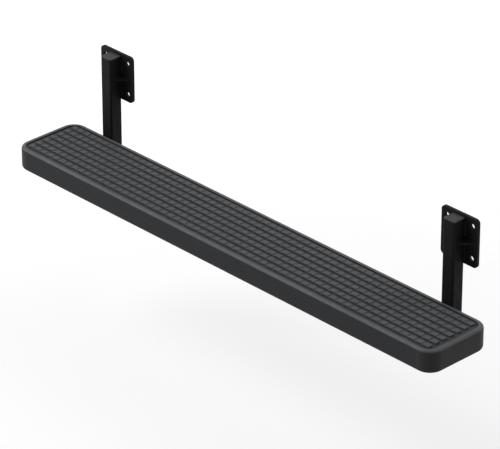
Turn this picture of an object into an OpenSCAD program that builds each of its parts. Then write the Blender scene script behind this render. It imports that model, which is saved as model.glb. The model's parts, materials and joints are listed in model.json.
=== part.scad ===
// Rear step bar: a ribbed and nubbed aluminium step board on two drop brackets.
// Millimetres. +X runs along the bar to the right as seen from behind the vehicle,
// +Y points forward to the vehicle, +Z is up.
// The origin is the middle of the flat front face of the left frame plate.

/* [Board] */
// Overall length of the board, end caps included
board_length = 1370; // [1100:10:1600]
// Depth of the board, from the rear face to the vehicle side
board_depth = 190; // [182:1:205]
// Height of the board's rims above its underside
board_height = 57; // [51:1:63]
// Wall thickness of the extrusion
board_wall = 3; // [2.5:0.5:4]
// Radius of the upper outer edges
top_edge_radius = 7; // [4:0.5:8]
// Radius of the lower outer edges
bottom_edge_radius = 9; // [4:0.5:12]
// Width of the smooth rim along the rear edge
rear_rim = 10; // [9:0.5:16]
// Width of the smooth rim along the vehicle side
front_rim = 12; // [9:0.5:16]
// Depth of the tray that holds the tread mat
tray_depth = 6; // [5:0.5:8]

/* [Tread mat] */
// Thickness of the sheet under the nubs
mat_sheet = 3; // [2:0.5:4]
// Distance from nub to nub along the board
nub_pitch_x = 22.1; // [18:0.1:30]
// Distance from row to row across the board
nub_pitch_y = 22.5; // [18:0.1:30]
// Length of one nub along the board
nub_length = 15; // [9:0.5:16]
// Depth of one nub across the board
nub_side = 13; // [9:0.5:15]
// Least distance from a nub to the edge of the mat
nub_margin = 8; // [4:0.5:10]
// Height of a nub above the sheet
nub_height = 5; // [4:0.5:6]
// Height of the rib that joins the nubs of one row
rib_height = 3.5; // [1:0.5:3.5]

/* [End caps] */
// Length of a cap outside the extrusion
cap_length = 44; // [43:1:60]
// Radius of the cap's corners, seen from above
cap_corner_radius = 37; // [30:1:42]
// Width of the smooth rim at each end
cap_rim = 13; // [10:1:18]
// Wall thickness of the moulded cap
cap_wall = 3; // [2.5:0.5:4]
// How far the cap's tongues reach into the extrusion
tongue_length = 25; // [20:1:35]
// Wall thickness of the tongues
tongue_wall = 2.5; // [2:0.5:3]

/* [Slots under the board] */
// Distance from the rear face to the rear slot
rear_slot = 75; // [70:1:80]
// Distance from the vehicle side to the front slot
front_slot_inset = 38; // [36:1:40]
// Distance from the rear face to the far side of the rear chamber
rear_chamber = 46.5; // [40:0.5:50]
// Width of the slot's mouth
slot_mouth = 11; // [10.5:0.5:12]
// Width of the slot behind its lips
slot_width = 20.5; // [20.5:0.5:22]
// Height of the slot behind its lips
slot_height = 8; // [7:0.5:9]
// Thickness of the slot's lips
slot_lip = 3.5; // [3:0.5:4]

/* [Drop brackets] */
// Distance from the board's left end to the middle of the left bracket
left_inset = 112; // [90:1:250]
// Distance from the board's right end to the middle of the right bracket
right_inset = 137; // [90:1:250]
// Outer side of the square leg tube
leg_side = 35; // [32:1:40]
// Wall thickness of the leg tube
leg_wall = 3; // [2.5:0.5:4]
// Outer corner radius of the leg tube
leg_corner = 5; // [4.5:0.5:7]
// Height of the leg above the middle of the frame plate
leg_rise = 52; // [40:1:60]
// Drop from the middle of the frame plate to the top of the board
board_drop = 150; // [110:1:250]
// Gap between a leg and the board
leg_gap = 3; // [1:0.5:10]
// Height of the channel arm under the board
arm_height = 30; // [26:1:40]
// Sheet thickness of the channel arm
arm_wall = 4; // [3:0.5:5]
// Outer bend radius of the channel arm
arm_bend = 7; // [5.5:0.5:8]
// Distance that an arm stays back from the board's rear face
arm_setback = 50; // [40:1:55]
// Length of the slanted cut at an arm's end
arm_cut = 18; // [10:1:25]

// Thickness of a tube plug's flange
plug_flange = 3; // [2:0.5:5]
// Depth of a tube plug's body
plug_depth = 15; // [10:1:25]
// Wall thickness of a tube plug's body
plug_wall = 2; // [1.5:0.5:3]

/* [Frame plates] */
// Width of a frame plate
plate_width = 110; // [104:1:140]
// Height of a frame plate
plate_height = 120; // [116:1:160]
// Thickness of a frame plate
plate_thickness = 8; // [6:0.5:10]
// Corner radius of a frame plate
plate_corner = 10; // [5:1:15]
// Bolt hole diameter
hole_diameter = 13; // [11:0.5:14]
// Distance between the holes across the plate
hole_spacing_x = 76; // [72:1:80]
// Distance between the holes up the plate
hole_spacing_z = 80; // [70:1:90]
// Thickness of the gussets beside a leg
gusset_thickness = 5; // [4:0.5:8]
// Distance from a gusset's tip to the side of the plate
gusset_margin = 7.5; // [4:0.5:20]
// Reach of a gusset along the leg
gusset_depth = 30; // [15:1:32]

/* [Bolts and screws] */
// Diameter of the bolts that hold the board
bolt_diameter = 10; // [8:0.5:10]
// Side of the bolt's square head
bolt_head_side = 19; // [17:0.5:19]
// Thickness of the bolt's head
bolt_head_height = 6; // [5:0.5:6.5]
// Length of the bolt below its head
bolt_length = 28; // [24:1:30]
// Width across the flats of the flange nut
nut_flats = 16; // [15:0.5:16]
// Height of the flange nut
nut_height = 10; // [8:0.5:10]
// Diameter of the nut's flange
nut_flange_diameter = 21.8; // [20:0.1:23]
// Thickness of the nut's flange
nut_flange_height = 2.2; // [1.5:0.1:3]
// Diameter of the end cap screws
screw_diameter = 4.8; // [4:0.1:5]
// Diameter of the end cap screws' heads
screw_head_diameter = 9.5; // [8:0.5:11]
// Height of the end cap screws' heads
screw_head_height = 3; // [2:0.5:4]
// Distance from the end of the extrusion to the screws
screw_inset = 13; // [10:1:16]

/* [Fits] */
// Clearance between the mat and the tray
mat_clearance = 0.5; // [0.2:0.1:1]
// Clearance between a tongue and its chamber
tongue_clearance = 0.4; // [0.2:0.1:0.6]
// Clearance of a bolt or screw in its hole
bolt_clearance = 0.5; // [0.3:0.1:1]
// Clearance between a nut and its bolt
thread_clearance = 0.1; // [0.05:0.05:0.2]
// Clearance between a tube plug and the tube
plug_clearance = 0.1; // [0.05:0.05:0.3]

/* [Hidden] */
$fn = 64;
left = -1;
right = 1;
over = 1;
left_x = 0;
right_x = board_length - left_inset - right_inset;
board_middle_x = board_length / 2 - left_inset;
deck_length = board_length - 2 * cap_length;
deck_left_x = board_middle_x - deck_length / 2;
deck_right_x = board_middle_x + deck_length / 2;
leg_front_y = -plate_thickness;
leg_rear_y = leg_front_y - leg_side;
deck_front_y = leg_rear_y - leg_gap;
deck_rear_y = deck_front_y - board_depth;
deck_top_z = -board_drop;
deck_bottom_z = deck_top_z - board_height;
leg_bottom_z = deck_bottom_z - arm_height;
gusset_reach = (plate_width - leg_side) / 2 - gusset_margin;
arm_rear_y = deck_rear_y + arm_setback;
tray_floor = board_height - tray_depth;
chamber_top = tray_floor - board_wall;
slot_box_height = slot_lip + slot_height + board_wall;
slot_box_width = slot_width + 2 * board_wall;
front_slot = board_depth - front_slot_inset;
middle_web = (rear_slot + front_slot) / 2 - board_wall / 2;
front_bay = front_slot + slot_box_width / 2;
mat_length = board_length - 2 * cap_rim - 2 * mat_clearance;
mat_depth = board_depth - rear_rim - front_rim - 2 * mat_clearance;
mat_rear_y = deck_rear_y + rear_rim + mat_clearance;
mat_bottom_z = deck_bottom_z + tray_floor;
mat_corner = cap_corner_radius - cap_rim - mat_clearance;
nub_columns = floor((mat_length - 2 * nub_margin - nub_length) / nub_pitch_x) + 1;
nub_rows = floor((mat_depth - 2 * nub_margin - nub_side) / nub_pitch_y) + 1;
nub_field_x = (nub_columns - 1) * nub_pitch_x;
nub_field_y = (nub_rows - 1) * nub_pitch_y;
rear_tongue = [board_wall, rear_chamber];
front_tongue = [front_bay, board_depth - board_wall];
rear_screw = (rear_tongue[0] + rear_tongue[1]) / 2;
front_screw = (front_tongue[0] + front_tongue[1]) / 2;

// Rounded outline of the board, from the rear face at 0 to the vehicle side
module board_outline() {
    r = bottom_edge_radius;
    t = top_edge_radius;
    translate([0, r])
        square([board_depth, board_height - r - t]);
    translate([r, 0])
        square([board_depth - 2 * r, r]);
    translate([t, board_height - t])
        square([board_depth - 2 * t, t]);
    for (x = [r, board_depth - r])
        translate([x, r])
            circle(r = r);
    for (x = [t, board_depth - t])
        translate([x, board_height - t])
            circle(r = t);
}

// Half of the same outline, from an inner line at 0 to the outer face
module edge_outline(reach) {
    r = bottom_edge_radius;
    t = top_edge_radius;
    translate([0, r])
        square([reach, board_height - r - t]);
    square([reach - r, r]);
    translate([0, board_height - t])
        square([reach - t, t]);
    translate([reach - r, r])
        circle(r = r);
    translate([reach - t, board_height - t])
        circle(r = t);
}

module slot_outline(middle) {
    translate([middle - slot_mouth / 2, -over])
        square([slot_mouth, slot_lip + 2 * over]);
    translate([middle - slot_width / 2, slot_lip])
        square([slot_width, slot_height]);
}

module slot_box(middle) {
    translate([middle - slot_box_width / 2, 0])
        square([slot_box_width, slot_box_height]);
}

module chamber_outline(from, to) {
    translate([from, board_wall])
        square([to - from, chamber_top - board_wall]);
}

module deck_section() {
    difference() {
        board_outline();
        translate([rear_rim, tray_floor])
            square([board_depth - rear_rim - front_rim, tray_depth + over]);
        chamber_outline(board_wall, rear_chamber);
        difference() {
            chamber_outline(rear_chamber + board_wall, middle_web);
            slot_box(rear_slot);
        }
        difference() {
            chamber_outline(middle_web + board_wall, board_depth - board_wall);
            slot_box(front_slot);
        }
        slot_outline(rear_slot);
        slot_outline(front_slot);
    }
}

// Puts an outline drawn as depth and height at the board and runs it along X
module along_board(start, length) {
    translate([start, deck_rear_y, deck_bottom_z])
        rotate([90, 0, 90])
            linear_extrude(height = length)
                children();
}

module deck() {
    color("#353638")
        difference() {
            along_board(deck_left_x, deck_length)
                deck_section();
            for (x = [deck_left_x + screw_inset, deck_right_x - screw_inset])
                for (y = [rear_screw, front_screw])
                    translate([x, deck_rear_y + y, deck_bottom_z - over])
                        cylinder(d = screw_diameter + bolt_clearance, h = board_wall + 2 * over);
        }
}

module tread_mat() {
    first_x = board_middle_x - nub_field_x / 2;
    first_y = mat_rear_y + (mat_depth - nub_field_y) / 2;
    color("#3a3b3d")
        union() {
            translate([board_middle_x, mat_rear_y + mat_depth / 2, mat_bottom_z])
                linear_extrude(height = mat_sheet)
                    mat_outline(mat_length, mat_depth, mat_corner);
            translate([0, 0, mat_bottom_z + mat_sheet])
                for (row = [0:nub_rows - 1])
                    translate([0, first_y + row * nub_pitch_y - nub_side / 2, 0])
                        nub_row(first_x);
        }
}

// Rectangle with round corners, its middle at 0
module mat_outline(length, depth, radius) {
    square([length, depth - 2 * radius], center = true);
    square([length - 2 * radius, depth], center = true);
    for (x = [radius - length / 2, length / 2 - radius])
        for (y = [radius - depth / 2, depth / 2 - radius])
            translate([x, y])
                circle(r = radius);
}

// One row: a rib with the nubs standing a little proud of it
module nub_row(first_x) {
    translate([first_x, 0, 0])
        cube([nub_field_x, nub_side, rib_height]);
    for (column = [0:nub_columns - 1])
        translate([first_x + column * nub_pitch_x - nub_length / 2, 0, 0])
            cube([nub_length, nub_side, nub_height]);
}

// Plan of the tray's end inside a cap, its two outer corners round
module tray_end() {
    radius = cap_corner_radius - cap_rim;
    reach = cap_length - cap_rim;
    depth = board_depth - rear_rim - front_rim;
    translate([-over, 0])
        square([reach - radius + over, depth]);
    translate([reach - radius, radius])
        square([radius, depth - 2 * radius]);
    for (y = [radius, depth - radius])
        translate([reach - radius, y])
            circle(r = radius);
}

// A cap that closes the right end, drawn from the end of the extrusion at X 0
module cap_form() {
    flat = cap_length - cap_corner_radius;
    straight = board_depth - 2 * cap_corner_radius;
    rotate([90, 0, 90])
        linear_extrude(height = flat)
            board_outline();
    translate([flat, cap_corner_radius, 0])
        rotate([0, 0, -90])
            rotate_extrude(angle = 90)
                edge_outline(cap_corner_radius);
    translate([flat, board_depth - cap_corner_radius, 0])
        rotate_extrude(angle = 90)
            edge_outline(cap_corner_radius);
    translate([flat, board_depth - cap_corner_radius, 0])
        rotate([90, 0, 0])
            linear_extrude(height = straight)
                edge_outline(cap_corner_radius);
}

module cap_cavity() {
    inner = cap_corner_radius - cap_wall;
    flat = cap_length - cap_corner_radius;
    far = board_depth - cap_corner_radius;
    translate([0, 0, cap_wall])
        linear_extrude(height = chamber_top - cap_wall) {
            translate([-over, cap_wall])
                square([flat + over, board_depth - 2 * cap_wall]);
            translate([flat, cap_corner_radius])
                square([inner, far - cap_corner_radius]);
            translate([flat, cap_corner_radius])
                circle(r = inner);
            translate([flat, far])
                circle(r = inner);
        }
}

// Plan of the cap out to the middle of its wall, with the tongues' length before it
module tongue_plan() {
    inset = cap_wall / 2;
    flat = cap_length - cap_corner_radius;
    far = board_depth - cap_corner_radius;
    translate([-tongue_length, inset])
        square([tongue_length + flat, board_depth - 2 * inset]);
    translate([flat, cap_corner_radius])
        square([cap_corner_radius - inset, far - cap_corner_radius]);
    for (y = [cap_corner_radius, far])
        translate([flat, y])
            circle(r = cap_corner_radius - inset);
}

module tongue(bay) {
    reach = tongue_length + cap_length;
    start = bay[0] + tongue_clearance;
    depth = bay[1] - bay[0] - 2 * tongue_clearance;
    height = chamber_top - board_wall - 2 * tongue_clearance;
    intersection() {
        linear_extrude(height = board_height)
            tongue_plan();
        translate([-tongue_length, start, board_wall + tongue_clearance])
            difference() {
                cube([reach, depth, height]);
                translate([-over, tongue_wall, tongue_wall])
                    cube([reach + 2 * over, depth - 2 * tongue_wall, height - 2 * tongue_wall]);
            }
    }
}

module end_cap(side) {
    end_x = side == right ? deck_right_x : deck_left_x;
    color("#343537")
        translate([end_x, deck_rear_y, deck_bottom_z])
            mirror([side == right ? 0 : 1, 0, 0])
                difference() {
                    union() {
                        difference() {
                            cap_form();
                            cap_cavity();
                            translate([0, rear_rim, tray_floor])
                                linear_extrude(height = tray_depth + over)
                                    tray_end();
                        }
                        tongue(rear_tongue);
                        tongue(front_tongue);
                    }
                    for (y = [rear_screw, front_screw])
                        translate([-screw_inset, y, 0])
                            cylinder(d = screw_diameter, h = board_wall + tongue_wall + 2 * over);
                }
}

module cap_screw(side, y) {
    x = side == right ? deck_right_x - screw_inset : deck_left_x + screw_inset;
    color("#303031")
        translate([x, deck_rear_y + y, deck_bottom_z]) {
            cylinder(d = screw_diameter, h = board_wall + tongue_clearance + tongue_wall);
            translate([0, 0, -screw_head_height])
                cylinder(d = screw_head_diameter, h = screw_head_height);
        }
}

// Square with round corners, its middle at 0
module rounded_square(side, radius) {
    square([side, side - 2 * radius], center = true);
    square([side - 2 * radius, side], center = true);
    for (x = [radius - side / 2, side / 2 - radius])
        for (y = [radius - side / 2, side / 2 - radius])
            translate([x, y])
                circle(r = radius);
}

// Outline with two round upper corners, from its lower edge at 0
module arch_outline(width, height, radius) {
    translate([-width / 2, 0])
        square([width, height - radius]);
    translate([radius - width / 2, 0])
        square([width - 2 * radius, height]);
    for (x = [radius - width / 2, width / 2 - radius])
        translate([x, height - radius])
            circle(r = radius);
}

module arm(x) {
    length = leg_rear_y - arm_rear_y;
    color("#19191b")
        difference() {
            translate([x, leg_rear_y, leg_bottom_z])
                rotate([90, 0, 0])
                    linear_extrude(height = length)
                        difference() {
                            arch_outline(leg_side, arm_height, arm_bend);
                            translate([0, -over])
                                arch_outline(
                                    leg_side - 2 * arm_wall,
                                    arm_height - arm_wall + over,
                                    arm_bend - arm_wall
                                );
                        }
            translate([x - leg_side / 2 - over, arm_rear_y, leg_bottom_z])
                rotate([90, 0, 90])
                    linear_extrude(height = leg_side + 2 * over)
                        polygon([
                            [-over, -over],
                            [arm_cut, -over],
                            [-over, arm_height - arm_wall - over]
                        ]);
            for (y = [rear_slot, front_slot])
                translate([x, deck_rear_y + y, deck_bottom_z - arm_wall - over])
                    cylinder(d = bolt_diameter + bolt_clearance, h = arm_wall + 2 * over);
        }
}

module leg(x) {
    color("#19191b")
        translate([x, (leg_front_y + leg_rear_y) / 2, leg_bottom_z])
            linear_extrude(height = leg_rise - leg_bottom_z)
                difference() {
                    rounded_square(leg_side, leg_corner);
                    rounded_square(leg_side - 2 * leg_wall, leg_corner - leg_wall);
                }
}

// A plug for one end of a leg, its flange outside and its hollow body in the tube
module leg_plug(x, z, up) {
    outer = leg_side - 2 * leg_wall - 2 * plug_clearance;
    inner = outer - 2 * plug_wall;
    color("#1f1f20")
        translate([x, (leg_front_y + leg_rear_y) / 2, z])
            mirror([0, 0, up ? 0 : 1]) {
                linear_extrude(height = plug_flange)
                    rounded_square(leg_side, leg_corner);
                translate([0, 0, -plug_depth])
                    linear_extrude(height = plug_depth)
                        difference() {
                            rounded_square(outer, leg_corner - leg_wall);
                            square(inner, center = true);
                        }
            }
}

module plate_outline() {
    c = plate_corner;
    translate([-plate_width / 2 + c, -plate_height / 2])
        square([plate_width - 2 * c, plate_height]);
    translate([-plate_width / 2, -plate_height / 2 + c])
        square([plate_width, plate_height - 2 * c]);
    for (sx = [-1, 1])
        for (sz = [-1, 1])
            translate([sx * (plate_width / 2 - c), sz * (plate_height / 2 - c)])
                circle(r = c);
}

module frame_plate(x) {
    color("#19191b")
        translate([x, 0, 0])
            difference() {
                rotate([90, 0, 0])
                    linear_extrude(height = plate_thickness)
                        plate_outline();
                for (sx = [-1, 1])
                    for (sz = [-1, 1])
                        translate([sx * hole_spacing_x / 2, over, sz * hole_spacing_z / 2])
                            rotate([90, 0, 0])
                                cylinder(d = hole_diameter, h = plate_thickness + 2 * over);
            }
}

module gusset(x, side) {
    color("#19191b")
        translate([x + side * leg_side / 2, leg_front_y, -gusset_thickness / 2])
            mirror([side == right ? 0 : 1, 0, 0])
                linear_extrude(height = gusset_thickness)
                    polygon([[0, 0], [gusset_reach, 0], [0, -gusset_depth]]);
}

module deck_bolt(x, y) {
    color("#aeaeb0")
        translate([x, deck_rear_y + y, deck_bottom_z + slot_lip]) {
            translate([-bolt_head_side / 2, -bolt_head_side / 2, 0])
                cube([bolt_head_side, bolt_head_side, bolt_head_height]);
            translate([0, 0, -bolt_length])
                cylinder(d = bolt_diameter, h = bolt_length + over);
        }
}

module deck_nut(x, y) {
    color("#aeaeb0")
        translate([x, deck_rear_y + y, deck_bottom_z - arm_wall])
            difference() {
                union() {
                    translate([0, 0, -nut_height])
                        cylinder(d = nut_flats / cos(30), h = nut_height, $fn = 6);
                    translate([0, 0, -nut_flange_height])
                        cylinder(d = nut_flange_diameter, h = nut_flange_height);
                }
                translate([0, 0, -nut_height - over])
                    cylinder(d = bolt_diameter + thread_clearance, h = nut_height + 2 * over);
            }
}

deck();
tread_mat();
end_cap(left);  // end_cap_left
end_cap(right);  // end_cap_right
cap_screw(left, rear_screw);  // cap_screw_left_rear
cap_screw(left, front_screw);  // cap_screw_left_front
cap_screw(right, rear_screw);  // cap_screw_right_rear
cap_screw(right, front_screw);  // cap_screw_right_front
arm(left_x);  // arm_left
arm(right_x);  // arm_right
leg(left_x);  // leg_left
leg(right_x);  // leg_right
leg_plug(left_x, leg_rise, true);  // leg_plug_left_top
leg_plug(left_x, leg_bottom_z, false);  // leg_plug_left_bottom
leg_plug(right_x, leg_rise, true);  // leg_plug_right_top
leg_plug(right_x, leg_bottom_z, false);  // leg_plug_right_bottom
frame_plate(left_x);  // frame_plate_left
frame_plate(right_x);  // frame_plate_right
gusset(left_x, left);  // gusset_left_outer
gusset(left_x, right);  // gusset_left_inner
gusset(right_x, left);  // gusset_right_inner
gusset(right_x, right);  // gusset_right_outer
deck_bolt(left_x, rear_slot);  // deck_bolt_left_rear
deck_bolt(left_x, front_slot);  // deck_bolt_left_front
deck_bolt(right_x, rear_slot);  // deck_bolt_right_rear
deck_bolt(right_x, front_slot);  // deck_bolt_right_front
deck_nut(left_x, rear_slot);  // deck_nut_left_rear
deck_nut(left_x, front_slot);  // deck_nut_left_front
deck_nut(right_x, rear_slot);  // deck_nut_right_rear
deck_nut(right_x, front_slot);  // deck_nut_right_front
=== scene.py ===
"""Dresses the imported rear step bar: finishes, weld beads, small fasteners, floor, light and camera.

Metres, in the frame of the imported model: +X along the bar, +Y to the vehicle, +Z up.
"""

import json
import math
from collections import namedtuple

import bmesh
import bpy
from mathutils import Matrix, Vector


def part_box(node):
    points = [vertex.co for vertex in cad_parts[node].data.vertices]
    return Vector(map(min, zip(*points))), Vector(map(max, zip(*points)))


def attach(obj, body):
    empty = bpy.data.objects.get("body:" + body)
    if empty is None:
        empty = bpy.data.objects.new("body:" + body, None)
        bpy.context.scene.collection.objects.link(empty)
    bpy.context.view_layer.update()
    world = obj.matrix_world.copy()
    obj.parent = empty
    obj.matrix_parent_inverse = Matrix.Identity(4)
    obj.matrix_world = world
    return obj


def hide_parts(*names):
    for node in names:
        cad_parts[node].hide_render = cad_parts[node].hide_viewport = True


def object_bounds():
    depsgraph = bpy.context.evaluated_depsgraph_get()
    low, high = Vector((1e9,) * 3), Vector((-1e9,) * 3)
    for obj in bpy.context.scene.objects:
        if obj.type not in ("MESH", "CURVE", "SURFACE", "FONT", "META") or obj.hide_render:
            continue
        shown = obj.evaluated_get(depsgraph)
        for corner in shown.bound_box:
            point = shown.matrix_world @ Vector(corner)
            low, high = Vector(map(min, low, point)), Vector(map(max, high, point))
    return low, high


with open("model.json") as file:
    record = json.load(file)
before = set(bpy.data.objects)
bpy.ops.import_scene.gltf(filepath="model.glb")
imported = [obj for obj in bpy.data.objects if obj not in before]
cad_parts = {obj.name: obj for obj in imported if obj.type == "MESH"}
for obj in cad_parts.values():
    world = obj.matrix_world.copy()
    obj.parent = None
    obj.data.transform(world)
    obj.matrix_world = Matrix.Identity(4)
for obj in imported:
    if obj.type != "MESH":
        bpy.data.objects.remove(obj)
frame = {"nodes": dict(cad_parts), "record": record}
cad_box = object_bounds()

# Where the picture was taken from, seen from the middle of the board
VIEW_AZIMUTH = math.radians(46.4)
VIEW_ELEVATION = math.radians(28.6)
VIEW_DISTANCE = 8.5
# Where the camera aims, from the board's middle, so that the brackets fit in
AIM_OFFSET = Vector((0.025, 0, 0.055))
IMAGE_WIDTH = 500
PIXELS_PER_METRE = 438
SENSOR_WIDTH = 36.0
CLIP_END = 100

# Soft lamps, as name, direction from the object, width, height and watts
LAMP_DISTANCE = 8.0
LAMPS = (
    ("rear_left", (-0.64, -0.48, 0.60), 3.4, 6.4, 525),
    ("front_right", (0.46, 0.62, 0.63), 3.4, 6.4, 165),
    ("top", (0.15, 0.15, 0.97), 7.0, 7.0, 110),
)
# Strength of the sky's light at the horizon and straight above
HORIZON_LEVEL = 0.10
ZENITH_LEVEL = 0.30
WHITE = (1, 1, 1, 1)

# Height of the board's upper face over the ground in the picture
GROUND_CLEARANCE = 0.445
FLOOR_SIZE = 60.0
FLOOR_COLOUR = (0.40, 0.40, 0.40)
FLOOR_ROUGHNESS = 0.9
# White that the floor adds for the camera near the object
FLOOR_GLOW = 0.62
# Distances from the object between which the floor fades to plain white
FADE_START = 0.9
FADE_END = 3.0

# How wide a node is rounded at its sharp edges, by how its name starts, with longer names first
ROUNDED_EDGES = {
    "tread_mat": 0.0006,
    "end_cap": 0.0002,
    "cap_screw": 0.0004,
    "arm": 0.0006,
    "leg_plug": 0.0005,
    "leg": 0.0006,
    "frame_plate": 0.0008,
    "gusset": 0.0007,
    "deck_bolt": 0.0004,
    "deck_nut": 0.0004,
    "deck": 0.0007,
}
EDGE_SEGMENTS = 2
EDGE_ANGLE = math.radians(35)
FLAT_ANGLE = math.radians(0.4)
WELD_DISTANCE = 0.00001

# How far a surface faces up where a mask starts and where it is full
LOOKS_UP = (0.3, 0.95)
LOOKS_DOWN = (-0.1, -0.8)
# Faces that get the polish colour, which is partly a painted highlight
SHOES_AND_HIGHLIGHT = (0.2, 0.7)
# Agreement of a rounded normal with the true one where edge wear starts and where it is full
EDGE_COSINES = (0.985, 0.86)
EDGE_SAMPLES = 6
# Most of a noise lies between these
NOISE_LOW = 0.3
NOISE_HIGH = 0.7

DUST_COLOUR = (0.115, 0.108, 0.098)
DUST_ROUGHENS = 0.4
# Painted shade: faces that look down are darkened in colour
UNDERSIDE_PAINTED_SHADE = (0.011, 0.011, 0.012)
UNDERSIDE_STRENGTH = 0.6
UNDERSIDE_ROUGHENS = 0.2
POLISH_SMOOTHS = 0.2
RUST_ROUGHENS = 0.3

# Depths under the top of the tread where the nubs' colour starts and where it is full; below it the
# grooves are painted darker, as painted shade
NUB_FOOT_DEPTH = 0.0045
NUB_TOP_DEPTH = 0.0005

# Weld beads
REARWARD = Vector((0, -1, 0))
BEAD_RADIUS = 0.0032
BEAD_STEP = 0.0013
BEAD_SIDES = 10
BEAD_RIPPLE = 0.11
BEAD_RIPPLE_LENGTH = 0.0042
# Size of a bead's very end and how deep it sits in the corner, as shares of its radius
BEAD_END_SIZE = 0.35
BEAD_SINK = 0.12
# How far beads stay from corners, from a gusset's tips and from the gusset itself
CORNER_GAP = 0.004
TIP_GAP = 0.003
GUSSET_GAP = 0.001
# How far an arm's beads stay from its sides, its lower edge and its upper edge
ARM_EDGE_GAP = 0.0035
ARM_FOOT_GAP = 0.002
ARM_HEAD_GAP = 0.009

# Points in a ring round a nut or a screw
RING_SIDES = 48

# Bolts in the board's slots
BOLT_RADIUS = 0.005
BOLT_CHAMFER = 0.0012
BOLT_HEAD_HEIGHT = 0.006
BOLT_HEAD_EASE = 0.0012
BOLT_FOOT_EASE = 0.0004
BOLT_OVERLAP = 0.0005
THREAD_PITCH = 0.0015
THREAD_DEPTH = 0.0009
THREAD_SLOPE = 1.2
THREAD_CREST = 0.15
THREAD_SIDES = 28
THREAD_STEPS = 6

# Their nuts
NUT_FLATS = 0.016
NUT_TWIST = math.radians(30)
NUT_BORE = 0.00505
NUT_SINK = 0.0056
NUT_FACE = 0.0074
NUT_CHAMFER = 0.0011
NUT_CHAMFER_STEPS = 4
NUT_CHAMFER_SPREAD = math.tan(math.radians(60))
NUT_CONE = 0.0030
NUT_RIM = 0.0013
NUT_EASE = 0.0003

# Screws of the end caps
SCREW_SHANK = 0.0024
SCREW_SOCKET = 0.0032
SCREW_SOCKET_DEPTH = 0.0016
SCREW_HEAD_HEIGHT = 0.003
SCREW_DOME = 0.0022
SCREW_DOME_STEPS = 6
# Share of the head that is flat round the socket
SCREW_FLAT = 0.45

Bump = namedtuple("Bump", "height strength depth")


def link(tree, source, target):
    tree.links.new(source, target)


def new_material(name):
    material = bpy.data.materials.new(name)
    material.use_nodes = True
    tree = material.node_tree
    tree.nodes.clear()
    output = tree.nodes.new("ShaderNodeOutputMaterial")
    shader = tree.nodes.new("ShaderNodeBsdfPrincipled")
    link(tree, shader.outputs["BSDF"], output.inputs["Surface"])
    return material, tree, shader


def place(tree, stretch=(1, 1, 1)):
    """The point on the object, with each axis scaled."""
    coordinates = tree.nodes.new("ShaderNodeTexCoord")
    mapping = tree.nodes.new("ShaderNodeMapping")
    mapping.inputs["Scale"].default_value = stretch
    link(tree, coordinates.outputs["Object"], mapping.inputs["Vector"])
    return mapping.outputs["Vector"]


def noise(tree, scale, detail=3.0, roughness=0.5, stretch=(1, 1, 1)):
    node = tree.nodes.new("ShaderNodeTexNoise")
    node.inputs["Scale"].default_value = scale
    node.inputs["Detail"].default_value = detail
    node.inputs["Roughness"].default_value = roughness
    link(tree, place(tree, stretch), node.inputs["Vector"])
    return node.outputs["Fac"]


def grain(tree, scale):
    """Small rounded cells, as on moulded plastic and rubber."""
    node = tree.nodes.new("ShaderNodeTexVoronoi")
    node.feature = "SMOOTH_F1"
    node.inputs["Scale"].default_value = scale
    link(tree, place(tree), node.inputs["Vector"])
    return node.outputs["Distance"]


def remap(tree, source, low, high, to_low=0.0, to_high=1.0):
    node = tree.nodes.new("ShaderNodeMapRange")
    node.inputs["From Min"].default_value = low
    node.inputs["From Max"].default_value = high
    node.inputs["To Min"].default_value = to_low
    node.inputs["To Max"].default_value = to_high
    link(tree, source, node.inputs["Value"])
    return node.outputs["Result"]


def vary(tree, source, to_low, to_high):
    """Spreads a noise over a range of values."""
    return remap(tree, source, NOISE_LOW, NOISE_HIGH, to_low, to_high)


def patches(tree, scale, low, high, to_low=0.0, to_high=1.0, detail=5, roughness=0.7):
    """Noise drawn apart into patches."""
    return remap(tree, noise(tree, scale, detail, roughness), low, high, to_low, to_high)


def maths(tree, operation, first, second):
    """A Math node on two values, each a socket or a number."""
    node = tree.nodes.new("ShaderNodeMath")
    node.operation = operation
    for socket, value in zip(node.inputs, (first, second)):
        if isinstance(value, (int, float)):
            socket.default_value = value
        else:
            link(tree, value, socket)
    return node.outputs["Value"]


def multiply(tree, first, second):
    return maths(tree, "MULTIPLY", first, second)


def blend_colours(tree, factor, first, second):
    """A Mix node on two colours, each a socket or three numbers."""
    node = tree.nodes.new("ShaderNodeMix")
    node.data_type = "RGBA"
    link(tree, factor, node.inputs["Factor"])
    colours = [socket for socket in node.inputs if socket.type == "RGBA"]
    for socket, value in zip(colours, (first, second)):
        if isinstance(value, tuple):
            socket.default_value = (*value, 1.0)
        else:
            link(tree, value, socket)
    return next(socket for socket in node.outputs if socket.type == "RGBA")


def lay_over(tree, base, colour, mask, strength=1.0):
    """Lays a colour over the base where the mask says."""
    if strength != 1.0:
        mask = multiply(tree, mask, strength)
    return blend_colours(tree, mask, base, colour)


def facing_mask(tree, limits):
    """0 to 1 between two limits of how far the surface faces up."""
    geometry = tree.nodes.new("ShaderNodeNewGeometry")
    parts = tree.nodes.new("ShaderNodeSeparateXYZ")
    link(tree, geometry.outputs["Normal"], parts.inputs["Vector"])
    return remap(tree, parts.outputs["Z"], *limits)


def height_mask(tree, low, high):
    parts = tree.nodes.new("ShaderNodeSeparateXYZ")
    link(tree, place(tree), parts.inputs["Vector"])
    return remap(tree, parts.outputs["Z"], low, high)


def edge_mask(tree, radius):
    """1 on outer edges, where a rounded normal leaves the true one."""
    geometry = tree.nodes.new("ShaderNodeNewGeometry")
    bevel = tree.nodes.new("ShaderNodeBevel")
    bevel.samples = EDGE_SAMPLES
    bevel.inputs["Radius"].default_value = radius
    dot = tree.nodes.new("ShaderNodeVectorMath")
    dot.operation = "DOT_PRODUCT"
    link(tree, geometry.outputs["Normal"], dot.inputs[0])
    link(tree, bevel.outputs["Normal"], dot.inputs[1])
    return remap(tree, dot.outputs["Value"], *EDGE_COSINES)


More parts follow.
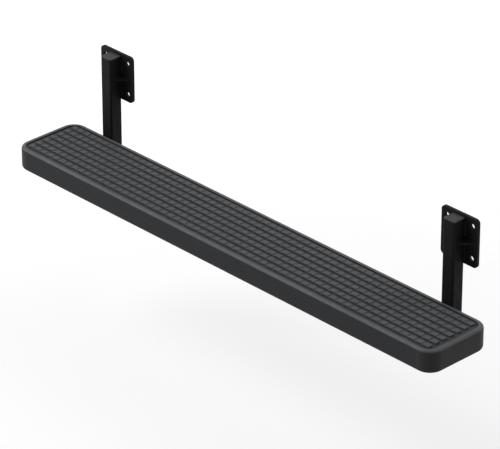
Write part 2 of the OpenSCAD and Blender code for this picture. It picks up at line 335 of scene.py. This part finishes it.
def edge_wear(tree, radius, scale, low, high, to_low=0.0, to_high=1.0, detail=5):
    """Patches along the outer edges."""
    worn = patches(tree, scale, low, high, to_low, to_high, detail)
    return multiply(tree, edge_mask(tree, radius), worn)


def polish_highlight_mask(tree, scale):
    """Edges and faces that look up, which shoes rub smooth; the paler colour laid on with it is partly
    shoe polish and partly a painted highlight.
    """
    rubbed = patches(tree, scale, low=0.25, high=0.7, to_low=0.6, to_high=0.95, roughness=0.65)
    return multiply(tree, facing_mask(tree, SHOES_AND_HIGHLIGHT), rubbed)


def dust_mask(tree, scale, most, low=0.4, high=0.75, roughness=0.65):
    """Dust that settles on faces that look up."""
    settled = patches(tree, scale, low, high, to_high=most, detail=6, roughness=roughness)
    return multiply(tree, facing_mask(tree, LOOKS_UP), settled)


def worn_roughness(tree, rough, polish_and_highlight, shade):
    """Smoother where shoes polish, rougher on undersides."""
    rough = maths(tree, "SUBTRACT", rough, multiply(tree, polish_and_highlight, POLISH_SMOOTHS))
    return maths(tree, "ADD", rough, multiply(tree, shade, UNDERSIDE_ROUGHENS))


def dress_shader(tree, shader, base, rough, bumps):
    """Puts the colour, the roughness and the layers of bump on the shader."""
    link(tree, base, shader.inputs["Base Color"])
    link(tree, rough, shader.inputs["Roughness"])
    normal = None
    for layer in bumps:
        bump = tree.nodes.new("ShaderNodeBump")
        bump.inputs["Strength"].default_value = layer.strength
        bump.inputs["Distance"].default_value = layer.depth
        link(tree, layer.height, bump.inputs["Height"])
        if normal is not None:
            link(tree, normal, bump.inputs["Normal"])
        normal = bump.outputs["Normal"]
    link(tree, normal, shader.inputs["Normal"])


def deck_coat():
    """Charcoal powder coat on the extrusion, rubbed smooth by shoes; faces that look up are paler,
    partly shoe polish and partly painted highlight, and faces that look down are darker as painted
    shade.
    """
    material, tree, shader = new_material("deck_coat")
    dark = (0.010, 0.0105, 0.012)
    pale = (0.017, 0.018, 0.020)
    fleck = (0.060, 0.062, 0.066)
    polish_highlight_colour = (0.090, 0.092, 0.097)
    bare = (0.085, 0.086, 0.088)
    specks = noise(tree, scale=1400, detail=2)
    scratches = noise(tree, scale=60, detail=4, roughness=0.6, stretch=(0.25, 9, 9))
    shade = facing_mask(tree, LOOKS_DOWN)
    polish_and_highlight = polish_highlight_mask(tree, scale=30)
    wear = edge_wear(tree, radius=0.002, scale=55, low=0.45, high=0.7)
    dust = dust_mask(tree, scale=16, most=0.3)
    base = blend_colours(tree, noise(tree, scale=7, detail=4), dark, pale)
    base = lay_over(tree, base, fleck, remap(tree, specks, low=0.52, high=0.7, to_high=0.6))
    # Painted shade: faces that look down are darkened
    base = lay_over(tree, base, UNDERSIDE_PAINTED_SHADE, shade, UNDERSIDE_STRENGTH)
    # Paler on faces that look up: partly shoe polish, partly painted highlight
    base = lay_over(tree, base, polish_highlight_colour, polish_and_highlight)
    base = lay_over(tree, base, bare, wear, strength=0.45)
    base = lay_over(tree, base, DUST_COLOUR, dust)
    rough = vary(tree, scratches, to_low=0.48, to_high=0.6)
    rough = maths(tree, "ADD", rough, multiply(tree, dust, DUST_ROUGHENS))
    rough = worn_roughness(tree, rough, polish_and_highlight, shade)
    shader.inputs["Specular IOR Level"].default_value = 0.16
    dress_shader(tree, shader, base, rough, [
        Bump(noise(tree, scale=420, detail=2), strength=0.45, depth=0.0006),
        Bump(specks, strength=0.35, depth=0.0002),
        Bump(scratches, strength=0.10, depth=0.0003),
    ])
    return material


def tread_rubber():
    """Rubber of the tread: paler, walked-on nub tops over grooves painted darker as painted shade, which
    hold some dust.
    """
    material, tree, shader = new_material("tread_rubber")
    groove_shade_dark = (0.020, 0.021, 0.023)
    groove_shade_pale = (0.028, 0.029, 0.030)
    nub_dark = (0.046, 0.049, 0.055)
    nub_pale = (0.059, 0.063, 0.070)
    fleck = (0.088, 0.090, 0.095)
    rubbed = (0.120, 0.122, 0.128)
    settled = (0.110, 0.104, 0.094)
    tread_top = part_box("tread_mat")[1].z
    nubs = height_mask(tree, tread_top - NUB_FOOT_DEPTH, tread_top - NUB_TOP_DEPTH)
    cloud = noise(tree, scale=9, detail=5, roughness=0.6)
    specks = noise(tree, scale=2200, detail=2)
    wear = edge_wear(tree, radius=0.0014, scale=70, low=0.4, high=0.65, to_low=0.1, to_high=0.6)
    dust = dust_mask(tree, scale=40, most=0.35, low=0.45, high=0.8, roughness=0.7)
    # Painted shade: the grooves between the nubs are coloured darker than the nub tops
    shaded_groove = blend_colours(tree, cloud, groove_shade_dark, groove_shade_pale)
    base = lay_over(tree, shaded_groove, blend_colours(tree, cloud, nub_dark, nub_pale), nubs)
    base = lay_over(tree, base, fleck, remap(tree, specks, low=0.5, high=0.75, to_high=0.4))
    base = lay_over(tree, base, rubbed, multiply(tree, wear, nubs))
    base = lay_over(tree, base, settled, dust)
    rough = vary(tree, cloud, to_low=0.58, to_high=0.74)
    shader.inputs["Specular IOR Level"].default_value = 0.3
    dress_shader(tree, shader, base, rough, [
        Bump(grain(tree, scale=900), strength=0.35, depth=0.0004),
        Bump(specks, strength=0.3, depth=0.0002),
        Bump(noise(tree, scale=120, detail=3), strength=0.12, depth=0.0006),
    ])
    return material


def cap_plastic():
    """Grained black plastic of the end caps, scuffed a little at the corners."""
    material, tree, shader = new_material("cap_plastic")
    dark = (0.024, 0.0245, 0.026)
    pale = (0.032, 0.0325, 0.034)
    polish_highlight_colour = (0.084, 0.086, 0.090)
    scuffed = (0.090, 0.090, 0.092)
    shade = facing_mask(tree, LOOKS_DOWN)
    polish_and_highlight = polish_highlight_mask(tree, scale=34)
    scuffs = edge_wear(tree, radius=0.003, scale=90, low=0.42, high=0.66)
    dust = dust_mask(tree, scale=18, most=0.28)
    base = blend_colours(tree, noise(tree, scale=11, detail=4), dark, pale)
    # Painted shade: faces that look down are darkened
    base = lay_over(tree, base, UNDERSIDE_PAINTED_SHADE, shade, UNDERSIDE_STRENGTH)
    # Paler on faces that look up: partly shoe polish, partly painted highlight
    base = lay_over(tree, base, polish_highlight_colour, polish_and_highlight)
    base = lay_over(tree, base, scuffed, scuffs, strength=0.4)
    base = lay_over(tree, base, DUST_COLOUR, dust)
    rough = vary(tree, noise(tree, scale=45, detail=4), to_low=0.5, to_high=0.62)
    rough = worn_roughness(tree, rough, polish_and_highlight, shade)
    shader.inputs["Specular IOR Level"].default_value = 0.16
    dress_shader(tree, shader, base, rough, [
        Bump(grain(tree, scale=1100), strength=0.6, depth=0.0003),
        Bump(noise(tree, scale=300, detail=3), strength=0.25, depth=0.0005),
    ])
    return material


def bracket_coat():
    """Thin black coat over welded steel, with rubbed edges and faint rust at a few of them."""
    material, tree, shader = new_material("bracket_coat")
    dark = (0.006, 0.006, 0.0065)
    pale = (0.010, 0.010, 0.011)
    fleck = (0.020, 0.020, 0.022)
    bare = (0.075, 0.076, 0.079)
    rusty = (0.085, 0.036, 0.016)
    specks = noise(tree, scale=1500, detail=2)
    edges = edge_mask(tree, radius=0.0018)
    wear = multiply(tree, edges, patches(tree, scale=80, low=0.5, high=0.7))
    rust = multiply(tree, edges, patches(tree, scale=23, low=0.64, high=0.72, detail=6))
    base = blend_colours(tree, noise(tree, scale=14, detail=4), dark, pale)
    base = lay_over(tree, base, fleck, remap(tree, specks, low=0.55, high=0.8, to_high=0.4))
    base = lay_over(tree, base, bare, wear, strength=0.5)
    base = lay_over(tree, base, rusty, rust, strength=0.55)
    rough = vary(tree, noise(tree, scale=70, detail=4), to_low=0.48, to_high=0.62)
    rough = maths(tree, "ADD", rough, multiply(tree, rust, RUST_ROUGHENS))
    shader.inputs["Specular IOR Level"].default_value = 0.08
    dress_shader(tree, shader, base, rough, [
        Bump(noise(tree, scale=380, detail=2), strength=0.25, depth=0.0006),
        Bump(specks, strength=0.2, depth=0.0002),
    ])
    return material


def plug_plastic():
    """Black moulded plastic of the tube plugs."""
    material, tree, shader = new_material("plug_plastic")
    dark = (0.011, 0.011, 0.011)
    pale = (0.018, 0.018, 0.018)
    scuffed = (0.060, 0.060, 0.060)
    scuffs = edge_wear(tree, radius=0.0015, scale=120, low=0.45, high=0.7, to_high=0.5, detail=4)
    base = blend_colours(tree, noise(tree, scale=30, detail=4), dark, pale)
    base = lay_over(tree, base, scuffed, scuffs)
    rough = vary(tree, noise(tree, scale=90, detail=3), to_low=0.45, to_high=0.62)
    shader.inputs["Specular IOR Level"].default_value = 0.35
    dress_shader(tree, shader, base, rough, [Bump(grain(tree, scale=1300), strength=0.35, depth=0.0003)])
    return material


def zinc_steel():
    """Zinc-plated steel of the board's bolts and nuts."""
    material, tree, shader = new_material("zinc_steel")
    dark = (0.36, 0.36, 0.36)
    pale = (0.50, 0.49, 0.47)
    dull = (0.20, 0.19, 0.17)
    cloud = noise(tree, scale=160, detail=4, roughness=0.6)
    base = blend_colours(tree, cloud, dark, pale)
    base = lay_over(tree, base, dull, patches(tree, scale=420, low=0.5, high=0.75, to_high=0.6))
    rough = vary(tree, cloud, to_low=0.3, to_high=0.48)
    shader.inputs["Metallic"].default_value = 1.0
    dress_shader(tree, shader, base, rough, [
        Bump(noise(tree, scale=1600, detail=3), strength=0.2, depth=0.0002),
    ])
    return material


def screw_black():
    """Blackened steel of the end cap screws."""
    material, tree, shader = new_material("screw_black")
    dark = (0.022, 0.022, 0.022)
    pale = (0.038, 0.038, 0.037)
    bare = (0.14, 0.14, 0.14)
    cloud = noise(tree, scale=240, detail=4)
    base = blend_colours(tree, cloud, dark, pale)
    base = lay_over(tree, base, bare, edge_mask(tree, radius=0.0008), strength=0.4)
    rough = vary(tree, cloud, to_low=0.34, to_high=0.5)
    shader.inputs["Metallic"].default_value = 0.4
    dress_shader(tree, shader, base, rough, [
        Bump(noise(tree, scale=1500, detail=3), strength=0.25, depth=0.0002),
    ])
    return material


def smooth_group():
    """Node group that shades smooth and keeps sharp what bends more than EDGE_ANGLE."""
    group = bpy.data.node_groups.new("smooth_by_angle", "GeometryNodeTree")
    group.interface.new_socket("Geometry", in_out="INPUT", socket_type="NodeSocketGeometry")
    group.interface.new_socket("Geometry", in_out="OUTPUT", socket_type="NodeSocketGeometry")
    start = group.nodes.new("NodeGroupInput")
    end = group.nodes.new("NodeGroupOutput")
    angle = group.nodes.new("GeometryNodeInputMeshEdgeAngle")
    compare = group.nodes.new("FunctionNodeCompare")
    compare.data_type = "FLOAT"
    compare.operation = "LESS_EQUAL"
    compare.inputs["B"].default_value = EDGE_ANGLE
    faces = group.nodes.new("GeometryNodeSetShadeSmooth")
    faces.domain = "FACE"
    edges = group.nodes.new("GeometryNodeSetShadeSmooth")
    edges.domain = "EDGE"
    link(group, start.outputs["Geometry"], faces.inputs["Geometry"])
    link(group, faces.outputs["Geometry"], edges.inputs["Geometry"])
    link(group, angle.outputs["Unsigned Angle"], compare.inputs["A"])
    link(group, compare.outputs["Result"], edges.inputs["Shade Smooth"])
    link(group, edges.outputs["Geometry"], end.inputs["Geometry"])
    return group


def round_edges(piece, width, shading):
    """Joins the node's triangles into faces again and rounds its edges."""
    weld = piece.modifiers.new("weld", "WELD")
    weld.merge_threshold = WELD_DISTANCE
    flat = piece.modifiers.new("flat", "DECIMATE")
    flat.decimate_type = "DISSOLVE"
    flat.angle_limit = FLAT_ANGLE
    bevel = piece.modifiers.new("bevel", "BEVEL")
    bevel.width = width
    bevel.segments = EDGE_SEGMENTS
    bevel.limit_method = "ANGLE"
    bevel.angle_limit = EDGE_ANGLE
    bevel.miter_outer = "MITER_ARC"
    bevel.use_clamp_overlap = False
    smooth = piece.modifiers.new("smooth", "NODES")
    smooth.node_group = shading
    normals = piece.modifiers.new("normals", "WEIGHTED_NORMAL")
    normals.keep_sharp = True


def edge_width(node):
    return next(width for stem, width in ROUNDED_EDGES.items() if node.startswith(stem))


def dress_cad(materials):
    """Gives each CAD node the material of its slot, and rounded edges."""
    shading = smooth_group()
    for part in frame["record"]["subparts"]:
        piece = frame["nodes"][part["node"]]
        piece.data.materials.clear()
        piece.data.materials.append(materials[part["material_slot"]])
        round_edges(piece, edge_width(part["node"]), shading)


def add_piece(name, mesh_maker, material):
    mesh = bpy.data.meshes.new(name)
    shape = bmesh.new()
    mesh_maker(shape)
    bmesh.ops.recalc_face_normals(shape, faces=shape.faces)
    shape.to_mesh(mesh)
    shape.free()
    for polygon in mesh.polygons:
        polygon.use_smooth = True
    mesh.materials.append(material)
    piece = bpy.data.objects.new(name, mesh)
    bpy.context.scene.collection.objects.link(piece)
    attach(piece, "root")
    return piece


def stand_in(name, suffix, mesh_maker, material):
    """A finer piece of the same size that stands for a plain CAD node."""
    piece = add_piece(name + suffix, mesh_maker, material)
    piece.data.set_sharp_from_angle(angle=EDGE_ANGLE)
    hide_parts(name)


def join_rings(shape, rings):
    """Faces between each ring of points and the next."""
    for near, far in zip(rings, rings[1:]):
        for side in range(len(near)):
            following = (side + 1) % len(near)
            shape.faces.new((near[side], near[following], far[following], far[side]))


def close_ends(shape, rings):
    shape.faces.new(list(reversed(rings[0])))
    shape.faces.new(rings[-1])


def ring_stack(shape, centre, steps, sides=RING_SIDES):
    """Joined rings, each given by its height and its reach, which is the radius at an angle."""
    rings = []
    for z, reach in steps:
        ring = []
        for side in range(sides):
            turn = 2 * math.pi * side / sides
            radius = reach(turn)
            x = centre.x + radius * math.cos(turn)
            y = centre.y + radius * math.sin(turn)
            ring.append(shape.verts.new((x, y, z)))
        rings.append(ring)
    join_rings(shape, rings)
    return rings


def circle(radius):
    return lambda turn: radius


def hexagon(flats, twist=0.0, widest=math.inf):
    """Reach of a hexagon, given across its flats, whose corners are cut to a widest radius."""
    sector = math.pi / 3

    def reach(turn):
        return min(flats / 2 / math.cos((turn + twist + sector / 2) % sector - sector / 2), widest)

    return reach


def thread(height):
    """Reach of the bolt's thread at a height over its chamfered lower end."""
    def reach(turn):
        phase = (height / THREAD_PITCH - turn / (2 * math.pi)) % 1.0
        shaded_groove = THREAD_SLOPE * abs(2 * phase - 1) - THREAD_CREST
        return BOLT_RADIUS - max(0.0, THREAD_DEPTH * shaded_groove, BOLT_CHAMFER - height)

    return reach


def bead(shape, start, end, first_out, second_out):
    """A fillet weld in the corner between two faces, whose outward normals are given."""
    length = (end - start).length
    count = max(2, round(length / BEAD_STEP))
    sink = (first_out + second_out) * BEAD_RADIUS * BEAD_SINK
    rings = []
    for index in range(count + 1):
        along = length * index / count
        wave = math.sin(2 * math.pi * along / BEAD_RIPPLE_LENGTH)
        taper = min(1.0, min(along, length - along) / BEAD_RADIUS + BEAD_END_SIZE)
        radius = BEAD_RADIUS * taper * (1 + BEAD_RIPPLE * wave)
        centre = start.lerp(end, index / count) - sink
        ring = []
        for side in range(BEAD_SIDES + 1):
            turn = math.pi / 2 * side / BEAD_SIDES
            offset = first_out * math.cos(turn) + second_out * math.sin(turn)
            ring.append(shape.verts.new(centre + offset * radius))
        ring.append(shape.verts.new(centre))
        rings.append(ring)
    join_rings(shape, rings)
    close_ends(shape, rings)


def plate_beads(shape, side):
    """Beads down both sides of the leg on its frame plate, over and under the gussets."""
    leg_low, leg_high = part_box("leg_" + side)
    plate_low, plate_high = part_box("frame_plate_" + side)
    gusset_low, gusset_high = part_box("gusset_" + side + "_inner")
    low = max(leg_low.z, plate_low.z) + CORNER_GAP
    high = min(leg_high.z, plate_high.z) - CORNER_GAP
    stretches = ((low, gusset_low.z - GUSSET_GAP), (gusset_high.z + GUSSET_GAP, high))
    for x, outward in ((leg_low.x, -1), (leg_high.x, 1)):
        for bottom, top in stretches:
            start = Vector((x, plate_low.y, bottom))
            end = Vector((x, plate_low.y, top))
            bead(shape, start, end, Vector((outward, 0, 0)), REARWARD)


def arm_beads(shape, side):
    """Beads up both sides of the arm where it meets the leg."""
    low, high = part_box("arm_" + side)
    for x, outward in ((low.x + ARM_EDGE_GAP, -1), (high.x - ARM_EDGE_GAP, 1)):
        start = Vector((x, high.y, low.z + ARM_FOOT_GAP))
        end = Vector((x, high.y, high.z - ARM_HEAD_GAP))
        bead(shape, start, end, Vector((outward, 0, 0)), REARWARD)


def gusset_beads(shape, side, edge):
    """Beads on both faces of a gusset, along the plate and along the leg."""
    low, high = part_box("gusset_" + side + "_" + edge)
    leg_low, leg_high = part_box("leg_" + side)
    on_right = low.x > (leg_low.x + leg_high.x) / 2
    outward = 1 if on_right else -1
    root, tip = (low.x, high.x) if on_right else (high.x, low.x)
    for z, up in ((low.z, -1), (high.z, 1)):
        face_out = Vector((0, 0, up))
        start = Vector((root + outward * CORNER_GAP, high.y, z))
        end = Vector((tip - outward * TIP_GAP, high.y, z))
        bead(shape, start, end, face_out, REARWARD)
        start = Vector((root, high.y - CORNER_GAP, z))
        end = Vector((root, low.y + TIP_GAP, z))
        bead(shape, start, end, face_out, Vector((outward, 0, 0)))


def weld_beads(side, material):
    """All beads of one bracket."""
    def make(shape):
        plate_beads(shape, side)
        arm_beads(shape, side)
        gusset_beads(shape, side, "inner")
        gusset_beads(shape, side, "outer")

    add_piece("weld_beads_" + side, make, material)


def threaded_shank(shape, centre, bottom, top):
    """A shank whose thread winds up from its lower end."""
    rows = round((top - bottom) / THREAD_PITCH * THREAD_STEPS)
    heights = [(top - bottom) * row / rows for row in range(rows + 1)]
    steps = [(bottom + height, thread(height)) for height in heights]
    close_ends(shape, ring_stack(shape, centre, steps, THREAD_SIDES))


def square_head(shape, low, high, bottom):
    """The bolt's head: a square block with eased upper and lower edges."""
    steps = (
        (bottom, BOLT_FOOT_EASE),
        (bottom + BOLT_FOOT_EASE, 0),
        (high.z - BOLT_HEAD_EASE, 0),
        (high.z, BOLT_HEAD_EASE),
    )
    rings = []
    for z, inset in steps:
        corners = (
            (low.x + inset, low.y + inset),
            (high.x - inset, low.y + inset),
            (high.x - inset, high.y - inset),
            (low.x + inset, high.y - inset),
        )
        rings.append([shape.verts.new((x, y, z)) for x, y in corners])
    join_rings(shape, rings)
    close_ends(shape, rings)


def deck_bolt(name, material):
    """Stands for a plain CAD bolt: the same sizes, with a thread."""
    low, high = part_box(name)
    centre = (low + high) / 2
    head_bottom = high.z - BOLT_HEAD_HEIGHT

    def make(shape):
        threaded_shank(shape, centre, low.z, head_bottom + BOLT_OVERLAP)
        square_head(shape, low, high, head_bottom)

    stand_in(name, "_threaded", make, material)


def flange_nut(name, material):
    """Stands for a plain CAD nut: the same sizes, with chamfered corners and a conical flange."""
    low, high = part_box(name)
    flange = (high.x - low.x) / 2

    def make(shape):
        steps = [
            (low.z + NUT_SINK - NUT_BORE, circle(NUT_BORE)),
            (low.z, circle(NUT_SINK)),
            (low.z, circle(NUT_FACE)),
        ]
        for step in range(1, NUT_CHAMFER_STEPS + 1):
            rise = NUT_CHAMFER * step / NUT_CHAMFER_STEPS
            widest = NUT_FACE + rise * NUT_CHAMFER_SPREAD
            steps.append((low.z + rise, hexagon(NUT_FLATS, NUT_TWIST, widest)))
        steps += [
            (high.z - NUT_CONE, hexagon(NUT_FLATS, NUT_TWIST)),
            (high.z - NUT_RIM, circle(flange - NUT_EASE)),
            (high.z - NUT_RIM + NUT_EASE, circle(flange)),
            (high.z - NUT_EASE, circle(flange)),
            (high.z, circle(flange - NUT_EASE)),
            (high.z, circle(NUT_BORE)),
        ]
        rings = ring_stack(shape, (low + high) / 2, steps)
        join_rings(shape, [rings[-1], rings[0]])

    stand_in(name, "_chamfered", make, material)


def socket_screw(name, material):
    """Stands for a plain CAD screw: the same sizes, with a domed head and a hexagon socket."""
    low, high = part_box(name)
    head = (high.x - low.x) / 2
    head_top = low.z + SCREW_HEAD_HEIGHT

    def make(shape):
        steps = [
            (low.z + SCREW_SOCKET_DEPTH, hexagon(SCREW_SOCKET)),
            (low.z, hexagon(SCREW_SOCKET)),
        ]
        for step in range(SCREW_DOME_STEPS + 1):
            tilt = math.pi / 2 * step / SCREW_DOME_STEPS
            radius = head * (SCREW_FLAT + (1 - SCREW_FLAT) * math.sin(tilt))
            steps.append((low.z + SCREW_DOME * (1 - math.cos(tilt)), circle(radius)))
        steps += [
            (head_top, circle(head)),
            (head_top, circle(SCREW_SHANK)),
            (high.z, circle(SCREW_SHANK)),
        ]
        close_ends(shape, ring_stack(shape, (low + high) / 2, steps))

    stand_in(name, "_domed", make, material)


def add_pieces(materials):
    """Weld beads on both brackets, and finer stand-ins for the bolts, nuts and cap screws."""
    for side in ("left", "right"):
        weld_beads(side, materials["bracket_coat"])
        for row in ("rear", "front"):
            deck_bolt("deck_bolt_" + side + "_" + row, materials["zinc_steel"])
            flange_nut("deck_nut_" + side + "_" + row, materials["zinc_steel"])
            socket_screw("cap_screw_" + side + "_" + row, materials["screw_black"])


def shows_background(tree):
    """1 for rays from the camera, from a glossy surface or through glass."""
    path = tree.nodes.new("ShaderNodeLightPath")
    seen = maths(tree, "MAXIMUM", path.outputs["Is Camera Ray"], path.outputs["Is Glossy Ray"])
    return maths(tree, "MAXIMUM", seen, path.outputs["Is Transmission Ray"])


def floor_material():
    """Pale floor that fades to white where it is seen or mirrored, and is open from below."""
    material, tree, shader = new_material("floor")
    shader.inputs["Base Color"].default_value = (*FLOOR_COLOUR, 1)
    shader.inputs["Roughness"].default_value = FLOOR_ROUGHNESS
    shader.inputs["Specular IOR Level"].default_value = 0.0
    away = tree.nodes.new("ShaderNodeVectorMath")
    away.operation = "LENGTH"
    link(tree, place(tree), away.inputs[0])
    level = remap(tree, away.outputs["Value"], FADE_START, FADE_END, FLOOR_GLOW, 1.0)
    glow = tree.nodes.new("ShaderNodeEmission")
    glow.inputs["Color"].default_value = WHITE
    link(tree, multiply(tree, shows_background(tree), level), glow.inputs["Strength"])
    both = tree.nodes.new("ShaderNodeAddShader")
    link(tree, shader.outputs["BSDF"], both.inputs[0])
    link(tree, glow.outputs["Emission"], both.inputs[1])
    clear = tree.nodes.new("ShaderNodeBsdfTransparent")
    geometry = tree.nodes.new("ShaderNodeNewGeometry")
    choose = tree.nodes.new("ShaderNodeMixShader")
    link(tree, geometry.outputs["Backfacing"], choose.inputs["Fac"])
    link(tree, both.outputs["Shader"], choose.inputs[1])
    link(tree, clear.outputs["BSDF"], choose.inputs[2])
    output = next(node for node in tree.nodes if node.type == "OUTPUT_MATERIAL")
    link(tree, choose.outputs["Shader"], output.inputs["Surface"])
    return material


def add_floor():
    low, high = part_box("deck")
    half = FLOOR_SIZE / 2
    corners = [(-half, -half, 0), (half, -half, 0), (half, half, 0), (-half, half, 0)]
    mesh = bpy.data.meshes.new("floor")
    mesh.from_pydata(corners, [], [(0, 1, 2, 3)])
    mesh.materials.append(floor_material())
    floor = bpy.data.objects.new("floor", mesh)
    floor.location = ((low.x + high.x) / 2, (low.y + high.y) / 2, high.z - GROUND_CLEARANCE)
    bpy.context.scene.collection.objects.link(floor)


def sky_level(tree):
    """Soft light that comes mostly from above."""
    coordinates = tree.nodes.new("ShaderNodeTexCoord")
    parts = tree.nodes.new("ShaderNodeSeparateXYZ")
    link(tree, coordinates.outputs["Generated"], parts.inputs["Vector"])
    return remap(tree, parts.outputs["Z"], 0.0, 1.0, HORIZON_LEVEL, ZENITH_LEVEL)


def add_world():
    """White where it is seen or mirrored, a plain soft level where it lights."""
    world = bpy.data.worlds.new("studio")
    bpy.context.scene.world = world
    world.use_nodes = True
    tree = world.node_tree
    tree.nodes.clear()
    output = tree.nodes.new("ShaderNodeOutputWorld")
    background = tree.nodes.new("ShaderNodeBackground")
    background.inputs["Color"].default_value = WHITE
    strength = maths(tree, "MAXIMUM", shows_background(tree), sky_level(tree))
    link(tree, strength, background.inputs["Strength"])
    link(tree, background.outputs["Background"], output.inputs["Surface"])


def add_lamp(name, direction, width, height, power):
    """A rectangular softbox that faces the object's middle."""
    low, high = cad_box
    data = bpy.data.lights.new(name, "AREA")
    data.shape = "RECTANGLE"
    data.size = width
    data.size_y = height
    data.energy = power
    lamp = bpy.data.objects.new(name, data)
    bpy.context.scene.collection.objects.link(lamp)
    toward = Vector(direction).normalized()
    lamp.location = (low + high) / 2 + toward * LAMP_DISTANCE
    lamp.rotation_mode = "QUATERNION"
    lamp.rotation_quaternion = toward.to_track_quat("Z", "Y")


def add_camera():
    """Stands where the picture was taken from, and frames the whole bar."""
    deck_low, deck_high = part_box("deck")
    left_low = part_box("end_cap_left")[0]
    right_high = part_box("end_cap_right")[1]
    middle = (deck_low + deck_high) / 2
    middle.x = (left_low.x + right_high.x) / 2
    back = Vector((
        math.sin(VIEW_AZIMUTH) * math.cos(VIEW_ELEVATION),
        -math.cos(VIEW_AZIMUTH) * math.cos(VIEW_ELEVATION),
        math.sin(VIEW_ELEVATION),
    ))
    data = bpy.data.cameras.new("camera")
    data.sensor_width = SENSOR_WIDTH
    data.lens = PIXELS_PER_METRE / IMAGE_WIDTH * SENSOR_WIDTH * VIEW_DISTANCE
    data.clip_end = CLIP_END
    camera = bpy.data.objects.new("camera", data)
    bpy.context.scene.collection.objects.link(camera)
    camera.location = middle + back * VIEW_DISTANCE
    camera.rotation_mode = "QUATERNION"
    camera.rotation_quaternion = (camera.location - middle - AIM_OFFSET).to_track_quat("Z", "Y")
    bpy.context.scene.camera = camera


materials = {
    "deck_coat": deck_coat(),
    "tread_rubber": tread_rubber(),
    "cap_plastic": cap_plastic(),
    "bracket_coat": bracket_coat(),
    "plug_plastic": plug_plastic(),
    "zinc_steel": zinc_steel(),
    "screw_black": screw_black(),
}
dress_cad(materials)
add_pieces(materials)
add_floor()
add_world()
for lamp in LAMPS:
    add_lamp(*lamp)
add_camera()
bpy.context.scene.view_settings.view_transform = "Standard"
